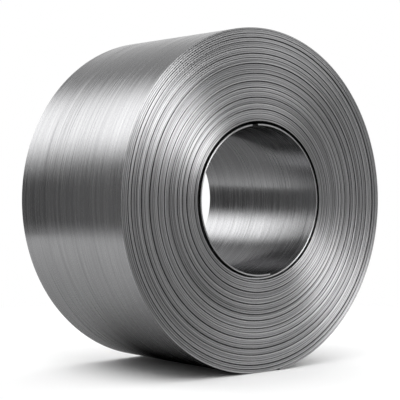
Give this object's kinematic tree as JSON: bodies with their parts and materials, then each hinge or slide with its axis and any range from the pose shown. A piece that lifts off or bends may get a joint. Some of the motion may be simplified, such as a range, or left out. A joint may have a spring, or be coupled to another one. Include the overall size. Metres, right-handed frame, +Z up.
{
  "type": "steel coil",
  "caption": "Coil of bare steel strip lying on its side, with a straight bore, the wound turns showing on both ends and a loose inner lap.",
  "frame": {"origin": "bottom centre of the coil as it lies on a level floor", "axes": "+Y along the bore away from the end with the nicked lap, +Z up, +X to the right seen from that end"},
  "size_m": [1.163, 0.58, 1.1596],
  "materials": {
    "strip_steel": "bare rolled strip with fine brushing along the strip"
  },
  "bodies": {
    "root": {"steel_coil": "strip_steel"}
  },
  "joints": []
}
